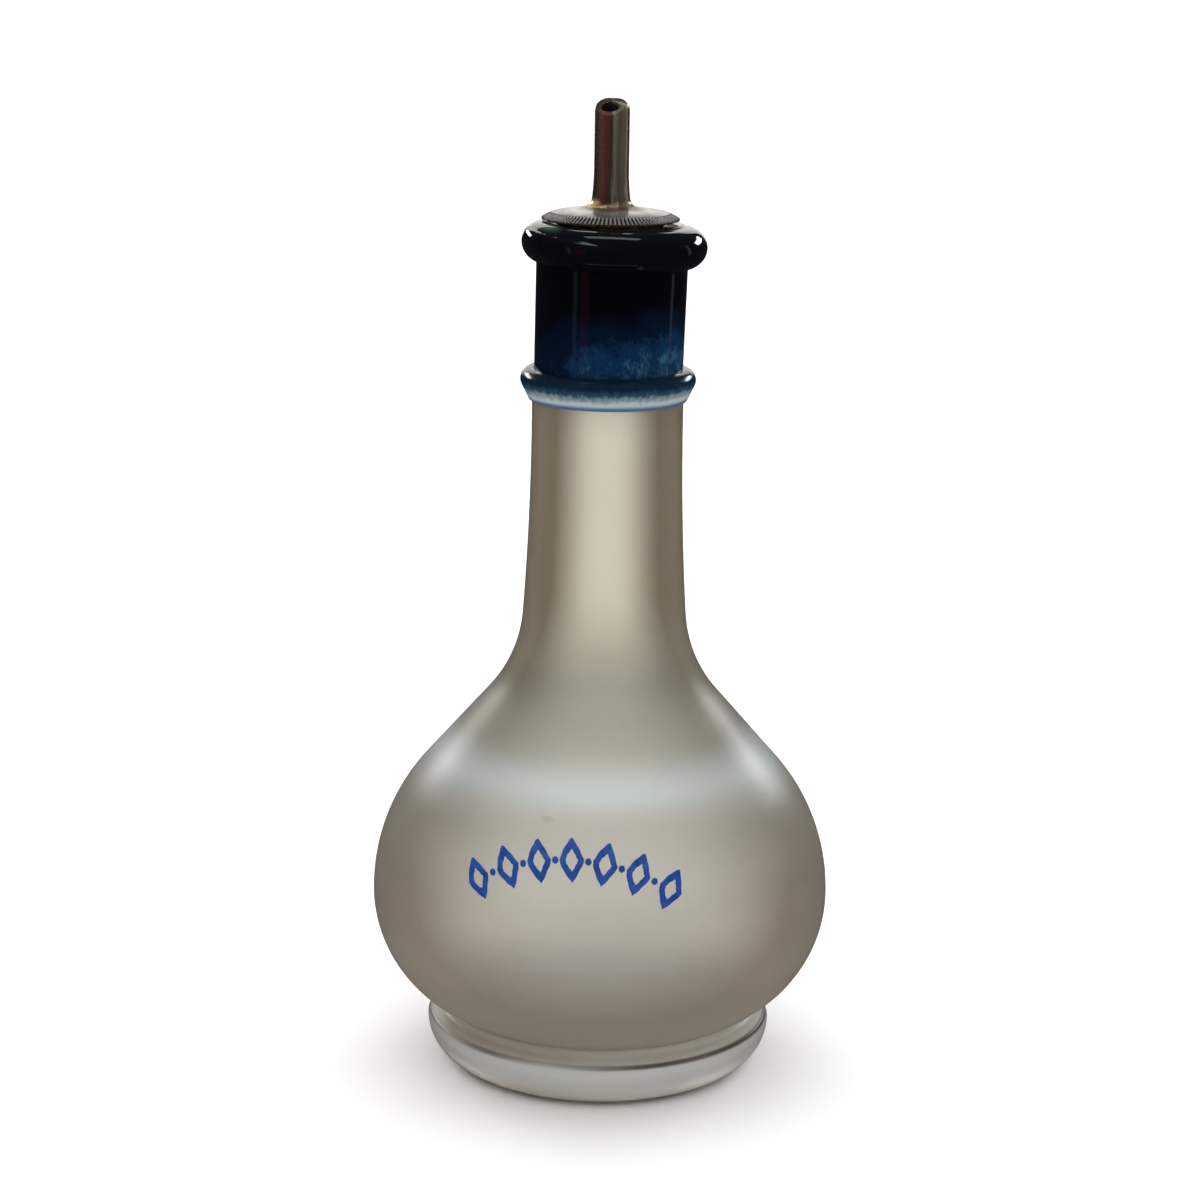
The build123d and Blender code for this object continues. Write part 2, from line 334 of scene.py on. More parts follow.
def turning_tree():
    """Geometry Nodes that turn a profile, a line of points with x as radius and z as height."""
    inputs = {"Profile": "Geometry", "Steps around": "Int", "Teeth": "Int", "Finish": "Material"}
    tree, given = new_rule("turn_a_profile", "Turned", inputs)
    count = put("GeometryNodeAttributeDomainSize", {0: given["Profile"]})[0]
    around = plus(given["Steps around"], 1)
    sheet = put("GeometryNodeMeshGrid", {"Vertices X": count, "Vertices Y": around})[0]
    index = put("GeometryNodeInputIndex", {}, tree)[0]
    along = reckon("FLOOR", reckon("DIVIDE", plus(index, 0.5), around))
    turn = minus(index, times(along, around))
    angle = times(turn, reckon("DIVIDE", 2 * pi, given["Steps around"]))

    def of_profile(field, kind):
        """Reads a value of the profile at this point's row."""
        values = {0: given["Profile"], 1: field, 2: along}
        return put("GeometryNodeSampleIndex", values, data_type=kind, domain="POINT")[0]

    x, _, z = split(of_profile(position(tree), "FLOAT_VECTOR"))
    depth = put("GeometryNodeInputNamedAttribute", {"Name": "groove"}, tree, data_type="FLOAT")
    depth = of_profile(depth[0], "FLOAT")
    tooth = times(angle, reckon("DIVIDE", given["Teeth"], 2 * pi))
    cut = times(depth, times(reckon("PINGPONG", tooth, 0.5), 2))
    radius = minus(x, cut)
    across = [times(radius, reckon(way, angle)) for way in ("COSINE", "SINE")]
    bent = moved(sheet, *across, minus(z, times(cut, 0.5)))
    weld = {"Geometry": bent, "Distance": 2e-6}
    return end_rule(tree, put("GeometryNodeMergeByDistance", weld)[0], given["Finish"])


turning = turning_tree()

# %% [markdown]
# ## From profile to piece
# The profile is a chain of points in millimetres. The modifier is evaluated once and only its
# result is kept, because what is handed on must be a plain mesh. Every mesh is checked: it has to
# be closed, with its faces outwards, or glass would refract the wrong way.

# %% Helpers that make pieces
def settle(piece, hard_angle=32):
    """Welds doubles, points faces outwards, shades smooth up to an angle, reports the mesh."""
    shape = bmesh.new()
    shape.from_mesh(piece.data)
    bmesh.ops.remove_doubles(shape, verts=shape.verts, dist=1e-7)
    bmesh.ops.dissolve_degenerate(shape, edges=shape.edges, dist=1e-8)
    loose = [edge for edge in shape.edges if not edge.link_faces]
    bmesh.ops.delete(shape, geom=loose, context="EDGES")
    bmesh.ops.recalc_face_normals(shape, faces=shape.faces)
    if shape.calc_volume(signed=True) < 0:
        bmesh.ops.reverse_faces(shape, faces=shape.faces)
    for edge in shape.edges:
        edge.smooth = len(edge.link_faces) == 2 and edge.calc_face_angle(pi) < radians(hard_angle)
    for face in shape.faces:
        face.smooth = True
    open_edges = sum(not edge.is_manifold for edge in shape.edges)
    triangles = sum(len(face.verts) - 2 for face in shape.faces)
    shape.to_mesh(piece.data)
    shape.free()
    print("%-14s %6d triangles, %d open edges" % (piece.name, triangles, open_edges))
    return piece


def plain(piece, name):
    """Applies a piece's modifiers: keeps the evaluated mesh and drops the working object."""
    evaluated = piece.evaluated_get(bpy.context.evaluated_depsgraph_get())
    mesh = bpy.data.meshes.new_from_object(evaluated)
    bpy.data.objects.remove(piece)
    return link(name, mesh)


def shaped_by(rule, piece, name, values, hard_angle=32):
    """What a Geometry Nodes tree makes of a piece, with the tree's named inputs filled."""
    step = piece.modifiers.new("rule", "NODES")
    step.node_group = rule
    for item in rule.interface.items_tree:
        if item.name in values:
            step[item.identifier] = values[item.name]
    return settle(plain(piece, name), hard_angle)


def turned(name, profile, finish, steps=144, grooves=None, teeth=0, hard_angle=32):
    """A piece turned from (radius, height) points, with groove depths where it is milled."""
    points = [*profile, profile[0]]
    blank = link("blank", bpy.data.meshes.new("profile"))
    edges = [(n, n + 1) for n in range(len(profile))]
    blank.data.from_pydata([(r * MM, 0, z * MM) for r, z in points], edges, [])
    depths = blank.data.attributes.new("groove", "FLOAT", "POINT")
    if grooves:
        depths.data.foreach_set("value", [depth * MM for depth in grooves(points)])
    values = {"Steps around": steps, "Teeth": teeth, "Finish": finish}
    return shaped_by(turning, blank, name, values, hard_angle)


def hand_over(piece, body, slot, *nodes):
    """The piece rides on its body and stands for the solids it replaces. Its slot is not used."""
    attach(piece, body)
    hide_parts(*nodes)


print("helpers: settle, plain, shaped_by, turned, hand_over")

# %% [markdown]
# ## The blown bulb and neck
# The bottle was blown into shape and then dipped in acid, which leaves the outside satin and the
# inside bright. Its side is a chain of arcs that meet without a corner: a low round belly, a
# flatter shoulder, a short straight run, a tight hollow under the neck, and a very long arc up the
# neck. The same chain, moved inwards by the wall, makes the inside, because a solid bulb would act
# as a lens.

# %% Profile of the bulb
foot_top, belly, shoulder_turn, taper = 8.6, 32.1, 41.3, 4.0
body_radius, low_radius, high_radius = 41.7, 23.5, 35.9
cove_radius, flare_radius, neck_radius, wall = 25.4, 514.0, 13.5, 3.3
core_radius, ring_joint, finish_top, mouth_low = 11.9, 125.8, 152.4, 130.7
low_centre, high_centre = (body_radius - low_radius, belly), (body_radius - high_radius, belly)
shoulder_run = (
    body_radius - high_radius * (1 - cos(radians(shoulder_turn)))
    - cove_radius * (cos(radians(taper)) - cos(radians(shoulder_turn)))
    - flare_radius * (1 - cos(radians(taper))) - neck_radius
) / sin(radians(shoulder_turn))


def ahead(point, turn, length):
    """The point a length away from another, in a direction in degrees."""
    return point[0] + length * cos(radians(turn)), point[1] + length * sin(radians(turn))


def arc(centre, radius, start, end, steps):
    """Points (radius, height) of an arc about a centre, from start to end in degrees."""
    return [ahead(centre, start + (end - start) * n / steps, radius) for n in range(steps + 1)]


def shallow_dome(half, rise, top, steps):
    """Points of a shallow dome, from its pole at a height out to its rim."""
    sphere = (half**2 + rise**2) / (2 * rise)
    return arc((0, top - sphere), sphere, 90, 90 - degrees(asin(half / sphere)), steps)


def glass_side(inset):
    """The glass's side from the belly's low end up to the neck, moved inwards by an inset."""
    low = arc(low_centre, low_radius - inset, -90, 0, 30)
    high = arc(high_centre, high_radius - inset, 0, shoulder_turn, 22)
    crest = ahead(high_centre, shoulder_turn, high_radius)
    run_end = ahead(crest, 90 + shoulder_turn, shoulder_run)
    cove_centre = ahead(run_end, shoulder_turn, cove_radius)
    cove = arc(cove_centre, cove_radius + inset, 180 + shoulder_turn, 180 + taper, 16)
    cove_end = ahead(cove_centre, 180 + taper, cove_radius)
    flare_centre = ahead(cove_end, taper, flare_radius)
    flare = arc(flare_centre, flare_radius + inset, 180 + taper, 180, 12)
    return low + high[1:] + cove + flare[1:]


skin_inset = 0.03
skin, inside = glass_side(skin_inset), glass_side(wall)[::-1]
floor_height, floor_rise, floor_radius = foot_top + wall, 2.0, 18.2
floor_line = shallow_dome(floor_radius, floor_rise, floor_height + floor_rise, 10)[::-1]
mouth = [(9.36, finish_top), (8.87, mouth_low)]
finish_end = [(neck_radius, ring_joint), (core_radius, ring_joint), (core_radius, finish_top)]
body_profile = [(0, foot_top)] + skin + finish_end + mouth + inside + floor_line[1:]
print("bulb: %d points, shoulder run %.2f mm" % (len(body_profile), shoulder_run))

# %% [markdown]
# ## The glass's colours by height, with painted light
# The glass's colour goes by height and paints the light in the glass: a pale bluish band round the
# shoulder is a painted highlight, and the darker glass just above and below it is painted shade.
# The shoulder's skin is smoother, too. The colour is given once for glass that is met squarely and
# once for glass at a slant, which is browner and darker as painted shade, with the same painted
# highlight at the shoulder. Two small marks are seeds, bubbles that stayed in the glass.

# %% Colours of the bulb and neck
# Painted light by height for glass met squarely: a pale bluish highlight band, painted shade beside
# it.
painted_light_stops = (
    (0.09, 1, 0.98, 0.92), (0.18, 0.99, 0.96, 0.92), (0.24, 1, 1, 0.98), (0.29, 1, 1, 0.98),
    (0.33, 0.88, 0.875, 0.83), (0.43, 0.72, 0.705, 0.655), (0.47, 0.88, 0.97, 0.99),
    (0.53, 0.77, 0.76, 0.66), (0.58, 0.75, 0.73, 0.63), (0.63, 0.98, 0.95, 0.85),
    (0.72, 1, 0.975, 0.88),
)
# Painted light by height for glass met at a slant: browner painted shade, lifted at the shoulder's
# band.
painted_slant_light_stops = (
    (0.1, 1, 0.93, 0.86), (0.18, 0.62, 0.56, 0.5), (0.26, 0.46, 0.39, 0.34),
    (0.41, 0.57, 0.53, 0.48), (0.44, 0.73, 0.75, 0.76), (0.47, 0.88, 0.9, 0.92),
    (0.52, 0.37, 0.34, 0.3), (0.6, 0.4, 0.36, 0.3), (0.72, 0.36, 0.31, 0.25),
)
colours_top = 0.125
seeds = (
    ((-0.0094, -0.034, 0.055), (620, 300, 1500)),
    ((0.0125, -0.0325, 0.0611), (3000, 900, 3000)),
)
print("colours: %d squarely, %d aslant" % (len(painted_light_stops), len(painted_slant_light_stops)))

# %% [markdown]
# ## Acid-frosted glass
# Frosted glass is clear glass with a rough skin: light goes through, but loses its way. White paint
# would look dead and clear glass would show too much, so the finish transmits light through a rough
# surface. A volume takes off light by the way through the wall, a little more of the blue, which
# gives smoky warm edges, and some plain diffuse light gives the milky body. The neck's wall is
# thick for its width, so its sides bend light away and only the middle glows. Layer Weight, which
# knows how squarely a wall is met, carries that. Slow noise is the acid's cloudiness, noise drawn
# out around the bottle is the faint bands from turning it in the fire, and a very fine grain breaks
# up the sheen.

# %% Frosted glass
def smoke(tree, density, colour):
    """Light lost on the way through the glass. The density is per metre."""
    volume = put("ShaderNodeVolumeAbsorption", {"Density": density, "Color": colour}, tree)[0]
    fill(tree.nodes["Material Output"].inputs["Volume"], volume)


def slant(tree):
    """How far from squarely the surface is met: 0 straight on and 1 along it."""
    return put("ShaderNodeLayerWeight", {"Blend": 0.5}, tree)["Facing"]


def spot(place, centre, size):
    """A soft oval mark about a centre: 1 in it and 0 outside. The size is in spots per metre."""
    for operation, value in (("SUBTRACT", centre), ("MULTIPLY", size)):
        place = put("ShaderNodeVectorMath", {0: place, 1: value}, operation=operation)[0]
    far = put("ShaderNodeVectorMath", {0: place}, operation="LENGTH")["Value"]
    return ramp(far, 1, 0.6)


finish, shader, place, _, _, z = patterned(
    "acid_satin", (0.9, 0.88, 0.8), 0.36, IOR=1.5,
    Transmission_Weight=0.84, Specular_IOR_Level=0.35,
)
level = ramp(z, 0.0, colours_top)
body, edge = stops(level, painted_light_stops), stops(level, painted_slant_light_stops)
cloud, speck = noise(place, 22, 3), noise(place, 700)
clouded = times(ramp(cloud, 0.25, 0.75), ramp(z, 0.07, 0.09, 1, 0.3))
body = shade(clouded, body, (0.95, 0.95, 0.94))
band = ramp(streaked(place, 14, 420, 2), 0.35, 0.7)
banded = times(band, ramp(z, 0.03, 0.06, 0.22, 0.1))
body = shade(banded, body, (0.9, 0.84, 0.78))
belly_part, neck_part = ramp(z, 0.046, 0.036, 0, 0.08), ramp(z, 0.066, 0.09, 0.5, 0.27)
reach = minus(neck_part, belly_part)
# Painted shade: where the wall is met at a slant, the colour turns to the slanted colours.
body = shade(ramp(slant(shader.id_data), 0.03, reach), body, edge)
for centre, size in seeds:
    body = shade(spot(place, centre, size), body, (0.8, 0.77, 0.72))
coarse, fine = ramp(cloud, 0.2, 0.8, 0.34, 0.42), ramp(speck, 0.3, 0.7, -0.02, 0.03)
smooth = reckon("MINIMUM", ramp(z, 0.0545, 0.0585), ramp(z, 0.0635, 0.0595))
rough = minus(plus(coarse, fine), times(smooth, 0.04))
feed(shader, Base_Color=body, Roughness=rough)
grain(shader, plus(noise(place, 3200, 1), speck), 0.15, 0.00005)
smoke(shader.id_data, 36, (0.3, 0.25, 0.15))
bottle = turned("bulb_and_neck", body_profile, finish, 160)
hand_over(bottle, "bottle", "frosted_glass", "bottle_body")

# %% [markdown]
# ## The foot
# A gather of glass was pressed under the bulb to stand on. It has a big round edge, a shallow slope
# with a fillet that hugs the bulb, and a hollow underneath, where the iron rod was broken off and
# the scar ground away. A hair of air is left under the bulb, because two glass skins in one place
# confuse the renderer.

# %% Profile of the foot
foot_radius, foot_edge, foot_gap = 31.6, 7.5, 0.02
recess_radius, recess_depth = 20.1, 2.4
foot_hollow = shallow_dome(recess_radius, recess_depth, recess_depth, 12)
foot_round = arc((foot_radius - foot_edge, foot_edge), foot_edge, -90, 0, 18)
rim_round = arc((30.75, 8.28), 0.5, 10, 70, 5)
fillet = arc((29.46, 10.318), 1.0, 250.9, 117.3, 12)
seat_turn = degrees(atan2(fillet[-1][1] - low_centre[1], fillet[-1][0] - low_centre[0]))
seat = arc(low_centre, low_radius + foot_gap, seat_turn, -90, 8) + [(0, foot_top - foot_gap)]
foot_profile = foot_hollow + foot_round[1:] + rim_round + fillet[:-1] + seat
print("foot: the fillet meets the bulb at z = %.2f mm" % fillet[-1][1])

# %% [markdown]
# ## The foot's glass
# It is clearer and greyer than the bulb. Its upper edge has a fine dark line of painted shade, its
# sides are painted darker than its middle, and the shelf inside the edge has painted light and
# shade: pale cream outside, warm painted shade in the crease under the bulb, darker to the left.

# %% Foot
finish, shader, place, x, y, z = patterned(
    "foot_satin", (0.86, 0.88, 0.85), 0.3, IOR=1.5, Transmission_Weight=0.5
)
out = off_axis(x, y)
cloud = noise(place, 60, 3)
colour = blend(ramp(cloud, 0.3, 0.7), (0.93, 0.95, 0.93), (1, 1, 0.99))
shelf = ramp(out, 0.0312, 0.0306)
# Painted light and shade on the shelf: pale cream outside, warm painted shade in the crease under
# the bulb, and more painted shade to the left.
crease_shade = ramp(z, 0.0097, 0.0108)
shelf_light_and_shade = blend(crease_shade, (1, 0.97, 0.9), (0.8, 0.71, 0.62))
shade_leftward = ramp(x, 0.004, -0.022)
shelf_light_and_shade = shade(shade_leftward, shelf_light_and_shade, (0.78, 0.74, 0.7))
colour = blend(shelf, colour, shelf_light_and_shade)
# Painted shade: a fine dark line round the foot's upper edge, standing in for the edge's
# refraction.
edge = times(ramp(out, 0.0304, 0.0309), ramp(z, 0.008, 0.0084))
edge = times(edge, ramp(noise(place, 35, 1), 0.35, 0.65, 0.3, 1))
colour = blend(edge, colour, (0.1, 0.06, 0.04))
# Painted shade: the sides are darker than the middle, less so on the shelf and not near the floor.
side_shade = times(ramp(slant(shader.id_data), 0.08, 0.6), ramp(shelf, 0, 1, 1, 0.25))
side_shade = times(side_shade, ramp(z, 0.003, 0.006))
colour = shade(side_shade, colour, (0.62, 0.61, 0.59))
feed(shader, Base_Color=colour, Roughness=ramp(cloud, 0.3, 0.7, 0.29, 0.36))
grain(shader, noise(place, 900), 0.15, 0.00004)
foot = turned("pressed_foot", foot_profile, finish)
hand_over(foot, "bottle", "foot_glass", "foot_ring")

# %% [markdown]
# ## The cobalt collar
# Cobalt makes glass so blue that a thick layer is black. The collar is black above and lights up
# lower down, in a mottle of blue cells with short dark streaks, as where the hot layer thinned and
# ran. That is painted by height and by noise stretched along the neck. The skin is not quite even,
# so the room's dim uprights show in it as soft streaks. The collar drifts a little to the right on
# its way up.

# %% Collar
collar_inner, collar_middle, collar_low, collar_high = 11.95, 12.5, 125.85, 150.4
collar_side = [(13.2, collar_low), (13.25, 132), (13.4, collar_high)]
collar_profile = [(collar_inner, collar_low), *collar_side, (collar_inner, collar_high)]
lip_drift, collar_share = 0.75, 0.6

finish, shader, place, x, y, z = patterned("cobalt_gloss", (0.002, 0.004, 0.012), 0.12, IOR=1.5)
drift = ramp(noise(place, 90), 0.2, 0.8, -0.0025, 0.0025)
# The blue is held to half as bright on the left side of the collar, and reaches higher on the
# right.
side = ramp(plus(x, times(y, -0.35)), -0.012, 0.01)
drift = minus(drift, ramp(side, 0, 1, -0.002, 0.003))
level = plus(z, drift)
glow = reckon("POWER", ramp(level, 0.1395, 0.1282), 1.1)
fleck = ramp(streaked(place, 2200, 1300, 4), 0.3, 0.7, 0.7, 1.05)
cells = times(fleck, ramp(noise(place, 420), 0.3, 0.7, 0.75, 1.1))
share = times(glow, cells, ramp(side, 0, 1, 0.5, 1))
blues = (
    (0, 0.0006, 0.001, 0.003), (0.3, 0.0006, 0.005, 0.018), (0.65, 0.002, 0.024, 0.066),
    (1, 0.024, 0.085, 0.16),
)
rough = ramp(streaked(place, 260, 30), 0.3, 0.7, 0.08, 0.16)
feed(shader, Base_Color=stops(share, blues), Roughness=rough)
grain(shader, streaked(place, 160, 45, 2), 0.12, 0.0004)
cobalt = finish
collar = turned("cobalt_collar", collar_profile, cobalt)
for point in collar.data.vertices:
    if hypot(point.co.x, point.co.y) > collar_middle * MM:
        rise = (point.co.z / MM - collar_low) / (collar_high - collar_low)
        point.co.x += collar_share * lip_drift * MM * rise
hand_over(collar, "bottle", "cobalt_glass", "collar_casing")

# %% [markdown]
# ## The string ring
# A strand of the same blue glass covers the joint of neck and collar. It is blunt above and drawn
# down thin below, and the colour ends in it: dark and glossy on its shoulder, ragged through its
# belly, milky white at its foot, with a fine line of violet blue where it meets the neck.

# %% String ring
nose_centre, nose_radius = (13.6, 126.6), 2.0
toe_centre, toe_radius = (13.85, 123.35), 0.35
toe_gap = (nose_centre[0] - toe_centre[0], nose_centre[1] - toe_centre[1])
toe_lean = asin((nose_radius - toe_radius) / hypot(*toe_gap))
toe_turn = degrees(atan2(toe_gap[1], toe_gap[0]) - pi / 2 - toe_lean)
ring_nose = arc(nose_centre, nose_radius, 90, toe_turn, 18)
ring_toe = arc(toe_centre, toe_radius, toe_turn, -90, 5)
ring_back = [(13.54, 123.0), (13.54, 125.78), (13.26, 125.84), (13.28, 128.6)]

finish, shader, place, _, _, z = patterned(
    "shaded_blue", (0.05, 0.1, 0.16), 0.18, IOR=1.5, Specular_IOR_Level=0.4
)
ragged = ramp(streaked(place, 1300, 700, 4), 0.25, 0.75, -0.0004, 0.0004)
drift = ramp(noise(place, 60), 0.3, 0.7, -0.0003, 0.0003)
level = plus(z, plus(ragged, drift))
blues = (
    (0, 0.002, 0.009, 0.018), (0.3, 0.003, 0.014, 0.03), (0.5, 0.016, 0.05, 0.09),
    (0.66, 0.15, 0.22, 0.25), (0.88, 0.4, 0.48, 0.5),
)
body = stops(ramp(level, 0.1285, 0.1235), blues)
line = ramp(plus(z, times(drift, 0.3)), 0.124, 0.1234)
rough = ramp(level, 0.1265, 0.1245, 0.17, 0.35)
feed(shader, Base_Color=blend(line, body, (0.07, 0.12, 0.26)), Roughness=rough)
grain(shader, noise(place, 300), 0.15, 0.0003)
ring = turned("string_ring_strand", ring_nose + ring_toe + ring_back, finish)
hand_over(ring, "bottle", "shaded_glass", "string_ring")

# %% [markdown]
# ## Strands and cuts
# Some shapes aren't turned: a strand laid on hot, a motif, a slice. They are rings of points with
# faces between them, joined and cut by booleans. Where heat or wear has rounded them, the skin is
# rebuilt from fine voxels and eased.

# %% Helpers for strands and cuts
def around(steps):
    """Even steps once around, as angles."""
    return [2 * pi * n / steps for n in range(steps)]


def through_rings(name, rings, closed):
    """A body through rings of points in metres, closed into a loop or with capped ends."""
    shape = bmesh.new()
    rows = [[shape.verts.new(point) for point in ring] for ring in rings]
    for row, following in zip(rows, rows[1:] + (rows[:1] if closed else [])):
        for n in range(len(row)):
            after = (n + 1) % len(row)
            shape.faces.new((row[n], row[after], following[after], following[n]))
    if not closed:
        shape.faces.new(rows[0])
        shape.faces.new(rows[-1])
    mesh = bpy.data.meshes.new(name)
    shape.to_mesh(mesh)
    shape.free()
    return link(name, mesh)


def carve(piece, operation, *tools):
    """Boolean steps that join other bodies to a piece, or cut them away."""
    for tool in tools:
        step = piece.modifiers.new("carve", "BOOLEAN")
        step.operation, step.solver, step.object = operation, "EXACT", tool


def melt(piece, voxel, rounds):
    """Rebuilds a piece's skin from voxels of a size in metres, and eases it."""
    melted = piece.modifiers.new("melt", "REMESH")
    melted.mode, melted.voxel_size = "VOXEL", voxel
    eased = piece.modifiers.new("ease", "SMOOTH")
    eased.factor, eased.iterations = 0.5, rounds


def carved(piece, name, finish, tools, hard_angle):
    """The carved body as a plain mesh in one finish. The tools are dropped."""
    kept = plain(piece, name)
    kept.data.materials.clear()
    kept.data.materials.append(finish)
    for tool in tools:
        bpy.data.objects.remove(tool)
    return settle(kept, hard_angle)


print("helpers: around, through_rings, carve, melt, carved")

# %% [markdown]
# ## The wound lip
# The lip is one turn of a thick hot strand laid round the mouth, a little aslant and a little to
# the right, with its end pulled off across the front as a tapering tail. A torus would look like a
# rubber ring, so both are swept: an oval section goes round a tilted circle, and a smaller one
# follows the tail and shrinks to nothing.

# %% Strand and tail
lip_reach, strand_wide, strand_high, strand_tilt = 16.4, 4.0, 3.7, radians(1.8)
lip_height, hair, strand_steps, tail_steps = 150.45, 0.02, 120, 40
tail_start, tail_sweep, tail_wide, tail_high = -172, 118, 1.25, 2.3


def oval(centre, out, wide, high, steps):
    """An upright oval ring of points about a centre, its width along an outward direction."""
    ring = [centre + out * wide * cos(t) + Vector((0, 0, high * sin(t))) for t in around(steps)]
    return [point * MM for point in ring]


def strand_ring(turn):
    """The strand's section at an angle, on a circle tilted down to the right."""
    out = Vector((cos(turn), sin(turn), 0))
    centre = Matrix.Rotation(strand_tilt, 3, "Y") @ (out * (lip_reach - strand_wide))
    centre += Vector((lip_drift, 0, lip_height))
    return oval(centre, out, strand_wide - hair, strand_high - hair, 32)


def tail_ring(along):
    """The tail's section at a share of its way, from inside the strand out and back in."""
    turn = radians(tail_start + tail_sweep * along)
    out = Vector((cos(turn), sin(turn), 0))
    size = 1 - 0.62 * along**2.2
    stand = 0.5 * min(1, sin(pi * min(1, along * 1.1)) * 1.5) - 0.5 * along**6
    centre = out * (lip_reach + stand - tail_wide * size)
    centre += Vector((lip_drift, 0, lip_height + 1.0 - 2.0 * along))
    return oval(centre, out, tail_wide * size, tail_high * size, 24)


strand = through_rings("strand", [strand_ring(turn) for turn in around(strand_steps)], True)
tail_rings = [tail_ring(n / tail_steps) for n in range(tail_steps + 1)]
tail = through_rings("tail", tail_rings, False)
for piece in (strand, tail):
    settle(piece, 180)

# %% [markdown]
# ## The lip's body and glass
# A short ring lines the mouth up to its top, and voxels melt the three into one body, as the heat
# did. The bore and the seat on the neck are cut afterwards, so that they stay crisp. The glass is
# blue-black and fire-polished. A trace of green on the left of the mouth's top is partly the glass
# thinning there and partly a painted reflection.

# %% Lip
bore_radius, seat_radius, strand_low, strand_top = 9.45, 11.92, 145, 157
lip_black = (0.0015, 0.002, 0.004)
lining_profile = [(bore_radius, 150.5), (bore_radius, 153.85), (9.8, 154.2), (12.6, 154.2)]
lining = turned("lining", lining_profile + [(13.6, 153.4), (13.6, 150.5)], cobalt, 96)


def plug(name, radius, top):
    """A turned cylinder about the axis, to cut with."""
    side = [(radius, strand_low), (radius, top)]
    return turned(name, [(0, strand_low), *side, (0, top)], cobalt, 96)


finish, shader, place, x, y, z = patterned(
    "blue_black_gloss", lip_black, 0.04, IOR=1.52, Coat_Weight=0.2, Coat_Roughness=0.02
)
out = off_axis(x, y)
# Green near the mouth's top on the left: partly the thin glass's tint, partly a painted reflection.
high = times(ramp(z, 0.153, 0.154), ramp(out, 0.0148, 0.0135), ramp(x, -0.0082, -0.0105, 0.04, 1))
green_tint_and_glint = times(high, ramp(noise(place, 140), 0.3, 0.6))
rough = ramp(noise(place, 260), 0.3, 0.7, 0.03, 0.08)
feed(shader, Base_Color=blend(green_tint_and_glint, lip_black, (0.06, 0.1, 0.065)), Roughness=rough)
grain(shader, noise(place, 120), 0.1, 0.0006)
bore, core = plug("bore", bore_radius, strand_top), plug("core", seat_radius, 152.45)
carve(strand, "UNION", tail, lining)
melt(strand, 0.00024, 5)
carve(strand, "DIFFERENCE", bore, core)
lip = carved(strand, "wound_lip", finish, (tail, lining, bore, core), 60)
hand_over(lip, "bottle", "lip_glass", "lip_ring")

# %% [markdown]
# ## Enamel ornament on the bulb
# Blue enamel stands in an arch on the front of the bulb, here as a plain row of open lozenges and
# dots. It is drawn flat, like a transfer: Geometry Nodes set a shape on every point of the arch,
# make it real, and bend it to the glass by the bulb's own radius at each height.

# %% The wrapping tree
def transfer_tree():
    """Geometry Nodes that repeat a flat motif along an arch and wrap it round the bulb."""
    inputs = {"Motif": "Geometry", "Pitch": "Float", "Start": "Float", "Crown": "Float"}
    inputs |= {"Sag": "Float", "Count": "Int", "Finish": "Material"}
    tree, given = new_rule("wrap_a_transfer", "Ornament", inputs)
    first, step = [put("ShaderNodeCombineXYZ", {0: given[name]})[0] for name in ("Start", "Pitch")]
    row = {"Count": given["Count"], "Start Location": first, "Offset": step}
    row = put("GeometryNodeMeshLine", row)[0]
    half_count = times(minus(given["Count"], 1), 0.5)
    middle = plus(given["Start"], times(given["Pitch"], half_count))
    x = split(position(tree))["X"]
    off = minus(x, middle)
    drop = times(given["Sag"], times(off, off))
    arch = moved(row, x, 0, minus(given["Crown"], drop))
    lean_by = reckon("ARCTANGENT", times(off, given["Sag"], 2))
    wander = {2: -0.06, 3: 0.06, "Seed": 4}
    wander = put("FunctionNodeRandomValue", wander, tree, data_type="FLOAT")[1]
    turn = put("ShaderNodeCombineXYZ", {1: plus(lean_by, wander)})[0]
    turn = put("FunctionNodeEulerToRotation", {0: turn})[0]
    shapes = {"Points": arch, "Instance": given["Motif"], "Rotation": turn}
    shapes = put("GeometryNodeInstanceOnPoints", shapes)[0]
    real = put("GeometryNodeRealizeInstances", {"Geometry": shapes})[0]
    x, y, z = split(position(tree))
    above = minus(z, belly * MM)
    span = minus((high_radius * MM) ** 2, times(above, above))
    bulb = plus(reckon("SQRT", span), (body_radius - high_radius) * MM)
    angle, out = reckon("DIVIDE", x, bulb), minus(bulb, y)
    front = times(out, reckon("COSINE", angle), -1)
    bent = moved(real, times(out, reckon("SINE", angle)), front, z)
    return end_rule(tree, bent, given["Finish"])


transfer = transfer_tree()

# %% [markdown]
# ## Motifs with a hand-painted edge
# Enamel laid on by brush has no straight edge, so each outline wavers by a tenth of a millimetre.
# The layer stands a few hundredths proud of the glass and is sunk a little into it, so that no gap
# shows behind.

# %% Ornament
enamel_top, enamel_sunk, motif_steps = -0.05, 0.12, 40
arch_pitch, arch_start, arch_crown, arch_sag = 5.75, -22.2, 49.2, 0.016


def motif(name, wide, high, power, waver, open_share=0.0):
    """A flat lozenge (power near 1) or dot (power 2), wavering and perhaps open inside."""
    sides = [(1, enamel_sunk), (1, enamel_top)]
    if open_share:
        sides += [(open_share, enamel_top), (open_share, enamel_sunk)]
    rings = []
    for share, depth in sides:
        ring = []
        for turn in around(motif_steps):
            across, up = (copysign(abs(v) ** (2 / power), v) for v in (cos(turn), sin(turn)))
            edge = share + waver * (sin(5 * turn + 1 + share) + sin(11 * turn)) / 2
            ring.append(Vector((wide / 2 * across * edge, depth, high / 2 * up * edge)) * MM)
        rings.append(ring)
    return through_rings(name, rings, bool(open_share))


